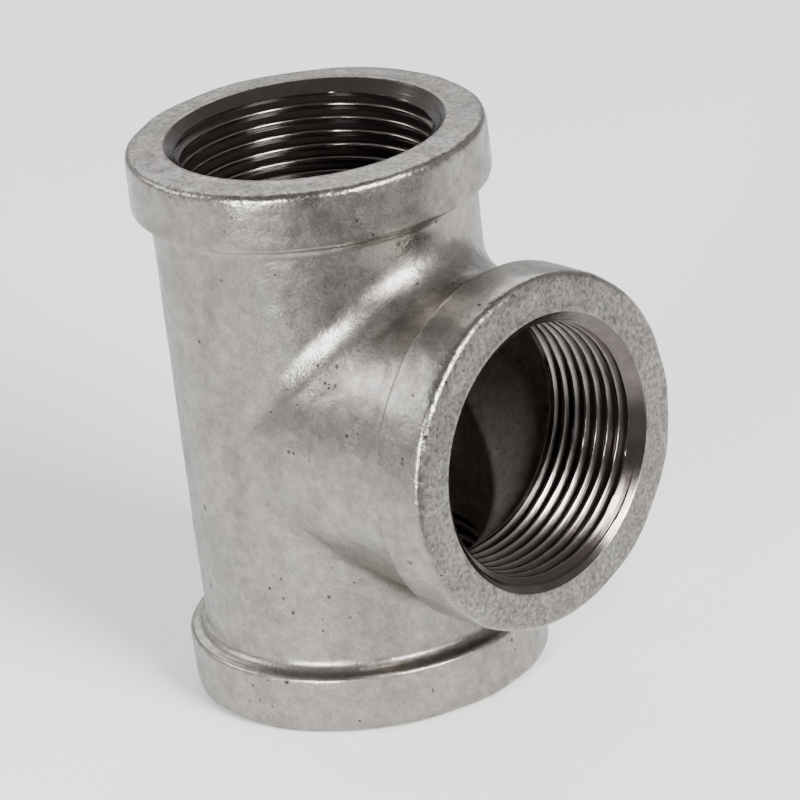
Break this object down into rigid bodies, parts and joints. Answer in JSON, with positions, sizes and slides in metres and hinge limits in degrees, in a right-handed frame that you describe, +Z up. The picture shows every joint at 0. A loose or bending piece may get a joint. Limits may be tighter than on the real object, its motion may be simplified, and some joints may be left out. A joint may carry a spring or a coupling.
{
  "type": "pipe tee fitting",
  "caption": "Banded pipe tee: a straight run and a side branch of equal size, each mouth with an internal tapered pipe thread, in zinc-coated malleable iron.",
  "frame": {"origin": "centre of the lower run mouth, on its end face", "axes": "+Z up the run from the lower to the upper mouth, +X along the branch towards its mouth, +Y completes a right-handed frame"},
  "size_m": [0.0723, 0.0558, 0.0889],
  "materials": {
    "malleable_iron": "bare machined iron in the countersinks and tapped necks",
    "zinc_outside": null,
    "zinc_inside": null
  },
  "bodies": {
    "root": {"casting": "malleable_iron", "outer_zinc": "zinc_outside", "waterway_zinc": "zinc_inside"}
  },
  "joints": []
}
